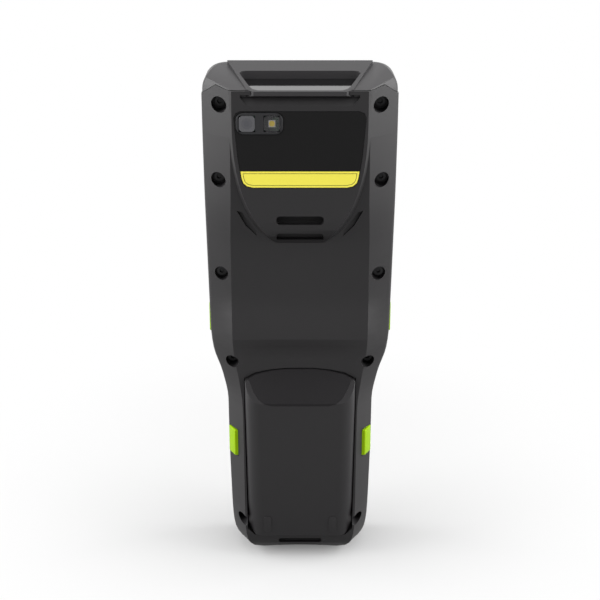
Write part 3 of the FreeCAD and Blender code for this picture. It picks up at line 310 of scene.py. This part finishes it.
FINISH = {
    "housing_plastic": moulded("housing_plastic", HOUSING_GREY, 0.44),
    "cap_plastic": moulded("cap_plastic", CAP_GREY, 0.40),
    "panel_plastic": moulded("panel_plastic", PANEL_BLACK, 0.5, grain=0.03, gloss=0.11),
    "battery_plastic": moulded("battery_plastic", BATTERY_BLACK, 0.42),
    "lime_plastic": moulded("lime_plastic", LIME, 0.38, grain=0.02, drift=0.04, gloss=0.05),
    "key_plastic": moulded("key_plastic", KEY_BLACK, 0.52, grain=0.03),
    "label_film": printed_film(),
    "dark_window": clear_window("dark_window", WINDOW_BLACK),
    "display_glass": display_cover(),
    "led_yellow": flash_die(),
    "screw_steel": blackened_steel(),
    "cell_metal": moulded("cell_metal", (0.4, 0.4, 0.42), 0.4),
    "contact_gold": gold_plate(),
    "board_parts": moulded("board_parts", (0.03, 0.10, 0.05), 0.5),
    "seal_rubber": moulded("seal_rubber", (0.015, 0.015, 0.015), 0.7),
    "light_pipe": clear_window("light_pipe", (0.55, 0.55, 0.53), 0.2),
}
COVER_FINISH = moulded("battery_cover_plastic", BATTERY_BLACK, 0.5, gloss=0.08)
BEZEL_FINISH = moulded("bezel_plastic", BEZEL_BLACK, 0.42, grain=0.02)
LEGEND_WHITE = moulded("legend_white", (0.68, 0.68, 0.66), 0.5, grain=0.01)
LEGEND_BLUE = moulded("legend_blue", (0.05, 0.30, 0.60), 0.5, grain=0.01)
LINE_DARK = moulded("line_dark", (0.11, 0.10, 0.02), 0.5, grain=0.01)


# Pieces made from the frame

def add_piece(name, mesh, body, materials):
    """A finished mesh object, riding on a body."""
    piece = bpy.data.objects.new(name, mesh)
    bpy.context.scene.collection.objects.link(piece)
    for material in materials:
        mesh.materials.append(material)
    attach(piece, body)
    return piece


def soften(work, angle=SMOOTH_ANGLE):
    """Smooth shading, with edges kept sharp past an angle."""
    for face in work.faces:
        face.smooth = True
    for edge in work.edges:
        edge.smooth = edge.calc_face_angle(math.pi) < angle


def node_copy(node):
    """The node's triangles as a merged mesh with its flat areas joined."""
    work = bmesh.new()
    work.from_mesh(frame["nodes"][node].data)
    bmesh.ops.remove_doubles(work, verts=work.verts, dist=MERGE_DISTANCE)
    bmesh.ops.dissolve_limit(work, angle_limit=FLAT_ANGLE, verts=work.verts, edges=work.edges,
                             use_dissolve_boundaries=False)
    return work


def to_mesh(work, name):
    """A finished mesh out of a bmesh."""
    mesh = bpy.data.meshes.new(name)
    work.to_mesh(mesh)
    work.free()
    return mesh


def dress(node, name, bevel=0.0, material=None):
    """A smooth-shaded piece that stands for one node, with its edges eased."""
    work = node_copy(node)
    soften(work)
    slot = SLOT_OF[node]
    piece = add_piece(name, to_mesh(work, name), BODY_OF[node], [material or FINISH[slot]])
    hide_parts(node)
    if bevel:
        ease = piece.modifiers.new("eased edges", "BEVEL")
        ease.width = bevel
        ease.segments = 2
        ease.limit_method = "ANGLE"
        ease.angle_limit = EASE_ANGLE
        ease.use_clamp_overlap = True


def paint_nodes():
    """Every node's own finish, also on those that no piece replaces."""
    for node, item in frame["nodes"].items():
        item.data.materials.clear()
        item.data.materials.append(FINISH[SLOT_OF[node]])


def label_film():
    """The label with a thin dark line drawn inside its border."""
    work = node_copy("yellow_label")
    bmesh.ops.dissolve_limit(work, angle_limit=FLAT_ANGLE, verts=work.verts, edges=work.edges)
    front = max((face for face in work.faces if face.normal.y < -0.9),
                key=lambda face: face.calc_area())
    bmesh.ops.inset_individual(work, faces=[front], thickness=LABEL_MARGIN, use_even_offset=True)
    line = bmesh.ops.inset_individual(work, faces=[front], thickness=LABEL_LINE,
                                      use_even_offset=True)
    for face in line["faces"]:
        face.material_index = 1
    mesh = to_mesh(work, "label")
    piece = add_piece("label", mesh, "root", [FINISH["label_film"], LINE_DARK])
    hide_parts("yellow_label")


def rounded_plate(width, height, thickness, corner, rim):
    """Plate in the XZ plane, outer face towards -Y, with round corners and an eased rim."""
    work = bmesh.new()
    bmesh.ops.create_cube(work, size=1.0)
    bmesh.ops.scale(work, vec=(width, thickness, height), verts=work.verts)
    upright = [edge for edge in work.edges
               if abs(edge.verts[0].co.y - edge.verts[1].co.y) > thickness / 2]
    bmesh.ops.bevel(work, geom=upright, offset=corner, segments=8, profile=0.5,
                    affect="EDGES", material=-1)
    outer = [edge for edge in work.edges
             if max(vert.co.y for vert in edge.verts) < -thickness / 2 + 1e-7]
    bmesh.ops.bevel(work, geom=outer, offset=rim, segments=2, profile=0.5,
                    affect="EDGES", material=-1)
    return work


def battery_pads():
    """Two low oval pads near the foot of the battery."""
    tilt = Matrix.Rotation(PAD_TILT, 4, "X")
    for side, name in ((-1, "left"), (1, "right")):
        work = rounded_plate(PAD_WIDTH, PAD_HEIGHT, PAD_THICKNESS, PAD_CORNER, PAD_RIM)
        place = Matrix.Translation((side * PAD_PLACE[0], PAD_PLACE[1], PAD_PLACE[2]))
        bmesh.ops.transform(work, matrix=place @ tilt, verts=work.verts)
        soften(work, PAD_SMOOTH_ANGLE)
        add_piece("battery_pad_" + name, to_mesh(work, "battery_pad_" + name), "battery",
                  [FINISH["housing_plastic"]])


def dock_pins():
    """Row of gold contact pins in the dock connector."""
    for index in range(PIN_COUNT):
        work = bmesh.new()
        bmesh.ops.create_cone(work, cap_ends=True, segments=16, radius1=PIN_FOOT_RADIUS,
                              radius2=PIN_TIP_RADIUS, depth=PIN_LENGTH)
        place = Vector(PIN_FIRST) + Vector((PIN_PITCH * index, 0, 0))
        bmesh.ops.translate(work, vec=place, verts=work.verts)
        soften(work)
        name = "dock_pin_%d" % (index + 1)
        add_piece(name, to_mesh(work, name), "root", [FINISH["contact_gold"]])


KEY_MARKS = {
    "zero": "0", "one": "1", "two": "2", "three": "3", "four": "4", "five": "5", "six": "6",
    "seven": "7", "eight": "8", "nine": "9", "star": "*", "pound": "#", "function": "FN",
    "alpha": "ABC", "enter": "ENT",
}
BLUE_MARKS = ("function", "alpha")
ARROW_TURNS = {"left": 90, "down": 180, "up": 0, "right": 270, "backspace": 90}


def key_place(node):
    """Centre of a key's outer face."""
    corners = [vert.co for vert in frame["nodes"][node].data.vertices]
    middle = [(min(c[i] for c in corners) + max(c[i] for c in corners)) / 2 for i in (0, 2)]
    return Vector((middle[0], max(c.y for c in corners), middle[1]))


def printed_mark(short, work, material):
    """A flat mark, drawn in XY, laid on a key's outer face."""
    name, node = "mark_" + short, "key_" + short
    turn = Matrix.Rotation(math.radians(180), 4, "Z") @ Matrix.Rotation(math.radians(90), 4, "X")
    place = Matrix.Translation(key_place(node) + Vector((0, MARK_LIFT, 0)))
    bmesh.ops.transform(work, matrix=place @ turn, verts=work.verts)
    add_piece(name, to_mesh(work, name), BODY_OF[node], [material])


def text_shape(words, height):
    """Printed characters as a flat mesh about the origin."""
    data = bpy.data.curves.new("characters", "FONT")
    data.body = words
    data.size = height
    data.align_x = "CENTER"
    data.align_y = "CENTER"
    item = bpy.data.objects.new("characters", data)
    bpy.context.scene.collection.objects.link(item)
    bpy.context.view_layer.update()
    flat = bpy.data.meshes.new_from_object(item)
    work = bmesh.new()
    work.from_mesh(flat)
    bpy.data.objects.remove(item)
    bpy.data.meshes.remove(flat)
    return work


def arrow_shape(turn, size):
    """Arrow head about the origin, pointing up before its turn."""
    work = bmesh.new()
    bmesh.ops.create_circle(work, cap_ends=True, segments=3, radius=size)
    bmesh.ops.rotate(work, matrix=Matrix.Rotation(math.radians(turn), 3, "Z"), verts=work.verts)
    return work


def bar_shape(widths, height, gap):
    """Row of upright bars about the origin."""
    work = bmesh.new()
    place = -(sum(widths) + gap * (len(widths) - 1)) / 2
    for width in widths:
        made = bmesh.ops.create_grid(work, x_segments=1, y_segments=1, size=0.5)["verts"]
        bmesh.ops.scale(work, vec=(width, height, 1), verts=made)
        bmesh.ops.translate(work, vec=(place + width / 2, 0, 0), verts=made)
        place += width + gap
    return work


def key_marks():
    """Digits, symbols and arrows printed on the keys."""
    for short, words in KEY_MARKS.items():
        work = text_shape(words, DIGIT_HEIGHT if len(words) == 1 else WORD_HEIGHT)
        printed_mark(short, work, LEGEND_BLUE if short in BLUE_MARKS else LEGEND_WHITE)
    for short, turn in ARROW_TURNS.items():
        printed_mark(short, arrow_shape(turn, ARROW_RADIUS), LEGEND_WHITE)
    for side in ("left", "right"):
        for row, dots in (("lower", 1), ("upper", 2)):
            work = bar_shape([DOT_SIZE] * dots, DOT_SIZE, DOT_GAP)
            printed_mark("soft_%s_%s" % (side, row), work, LEGEND_WHITE)
    printed_mark("scan", bar_shape(SCAN_BARS, SCAN_BAR_HEIGHT, SCAN_BAR_GAP), LINE_DARK)


paint_nodes()
dress("rear_housing", "rear_shell", bevel=0.00022)
dress("front_housing", "front_shell", bevel=0.0002)
dress("top_cap", "end_cap", bevel=0.0003)
dress("battery_case", "battery_shell", bevel=0.0002)
dress("battery_top_cover", "battery_cover", bevel=0.0006, material=COVER_FINISH)
dress("rear_panel", "panel", bevel=0.0001)
dress("camera_bezel", "camera_plate", bevel=0.0001, material=BEZEL_FINISH)
dress("camera_lens", "lens_window", bevel=0.0001, material=camera_window())
dress("flash_lens", "flash_window", bevel=0.0001, material=tinted_window())
dress("flash_led", "flash_light")
dress("rear_screws", "screws", bevel=0.0001)
dress("scan_window", "scanner_window", bevel=0.0001)
dress("speaker_mesh", "speaker_grille", material=pierced_steel())
for node, slot in SLOT_OF.items():
    if slot in ("lime_plastic", "key_plastic"):
        dress(node, node + "_cap", bevel=0.0002)
label_film()
battery_pads()
dock_pins()
key_marks()


# Room, light and camera

BACKGROUND_RAYS = ("Is Camera Ray", "Is Glossy Ray", "Is Transmission Ray")


def ray_share(paint_tree, rays):
    """One for rays of the named kinds, otherwise zero."""
    path = paint_tree.nodes.new("ShaderNodeLightPath")
    total = None
    for label in rays:
        if total is None:
            total = path.outputs[label]
            continue
        add = paint_tree.nodes.new("ShaderNodeMath")
        add.operation = "MAXIMUM"
        paint_tree.links.new(total, add.inputs[0])
        paint_tree.links.new(path.outputs[label], add.inputs[1])
        total = add.outputs[0]
    return total


def studio_floor():
    """Plain floor that keeps the shadow near the terminal and is white further out."""
    bpy.ops.mesh.primitive_plane_add(size=FLOOR_SIZE, location=(0, 0, 0))
    floor = bpy.context.object
    floor.name = "floor"
    paint = Paint("floor_white", Specular_IOR_Level=0.1)
    tone = paint.noise(2.0)
    seen = Value(paint, ray_share(paint.tree, ("Is Camera Ray",)))
    behind = Value(paint, ray_share(paint.tree, BACKGROUND_RAYS))
    across, along = paint.axis("X"), paint.axis("Y") - FLOOR_MIDDLE
    reach = (across * across + along * along).math("POWER", 0.5)
    far = paint.node("ShaderNodeMapRange", {"interpolation_type": "SMOOTHSTEP"},
                     {0: reach, 1: FLOOR_NEAR, 2: FLOOR_FAR, 3: 0.0, 4: 1.0})
    paint.set(Base_Color=paint.blend(seen, (0.34, 0.34, 0.34, 1), (0.54, 0.54, 0.54, 1)),
              Roughness=0.85 + tone * 0.05)
    white = paint.node("ShaderNodeEmission", {}, {"Color": (1, 1, 1, 1), "Strength": 1.0})
    mix = paint.node("ShaderNodeMixShader", {}, {0: far * behind})
    links, made = paint.tree.links, mix.socket.node
    links.new(paint.shader.outputs[0], made.inputs[1])
    links.new(white.socket, made.inputs[2])
    links.new(mix.socket, paint.tree.nodes["Material Output"].inputs[0])
    floor.data.materials.append(paint.material)


def surround():
    """World that lights softly and is white where it is seen or mirrored."""
    world = bpy.data.worlds.new("surround")
    world.use_nodes = True
    bpy.context.scene.world = world
    tree = world.node_tree
    plain = tree.nodes["Background"]
    plain.inputs["Color"].default_value = (1, 1, 1, 1)
    plain.inputs["Strength"].default_value = 0.42
    bright = tree.nodes.new("ShaderNodeBackground")
    bright.inputs["Color"].default_value = (1, 1, 1, 1)
    bright.inputs["Strength"].default_value = 1.0
    mix = tree.nodes.new("ShaderNodeMixShader")
    tree.links.new(ray_share(tree, BACKGROUND_RAYS), mix.inputs[0])
    tree.links.new(plain.outputs[0], mix.inputs[1])
    tree.links.new(bright.outputs[0], mix.inputs[2])
    tree.links.new(mix.outputs[0], tree.nodes["World Output"].inputs[0])


def soft_light(name, place, target, width, height, power):
    """Rectangular lamp turned towards a place on the terminal."""
    lamp = bpy.data.lights.new(name, "AREA")
    lamp.shape = "RECTANGLE"
    lamp.size = width
    lamp.size_y = height
    lamp.energy = power
    item = bpy.data.objects.new(name, lamp)
    item.location = place
    item.rotation_euler = (Vector(target) - Vector(place)).to_track_quat("-Z", "Y").to_euler()
    bpy.context.scene.collection.objects.link(item)


def camera():
    """Camera at the photograph's height and framing."""
    data = bpy.data.cameras.new("camera")
    data.lens = CAMERA_FOCAL
    data.sensor_width = 36.0
    data.shift_y = CAMERA_SHIFT_UP
    item = bpy.data.objects.new("camera", data)
    back = Vector((0, -math.cos(CAMERA_ELEVATION), math.sin(CAMERA_ELEVATION)))
    item.location = CAMERA_TARGET + back * CAMERA_DISTANCE
    item.rotation_euler = (-back).to_track_quat("-Z", "Y").to_euler()
    bpy.context.scene.collection.objects.link(item)
    bpy.context.scene.camera = item


studio_floor()
surround()
soft_light("top box", (0, 0.10, 0.85), (0, 0, 0.1), 0.8, 0.7, 3.0)
for side in (-1, 1):
    soft_light("side box %d" % side, (side * 0.62, -0.02, 0.36), (0, 0, 0.14), 0.6, 0.6, 6.5)
    soft_light("front box %d" % side, (side * 0.80, -0.80, 0.42), (0, 0, 0.1), 0.7, 0.9, 2.2)
camera()

bpy.context.scene.view_settings.view_transform = "Standard"
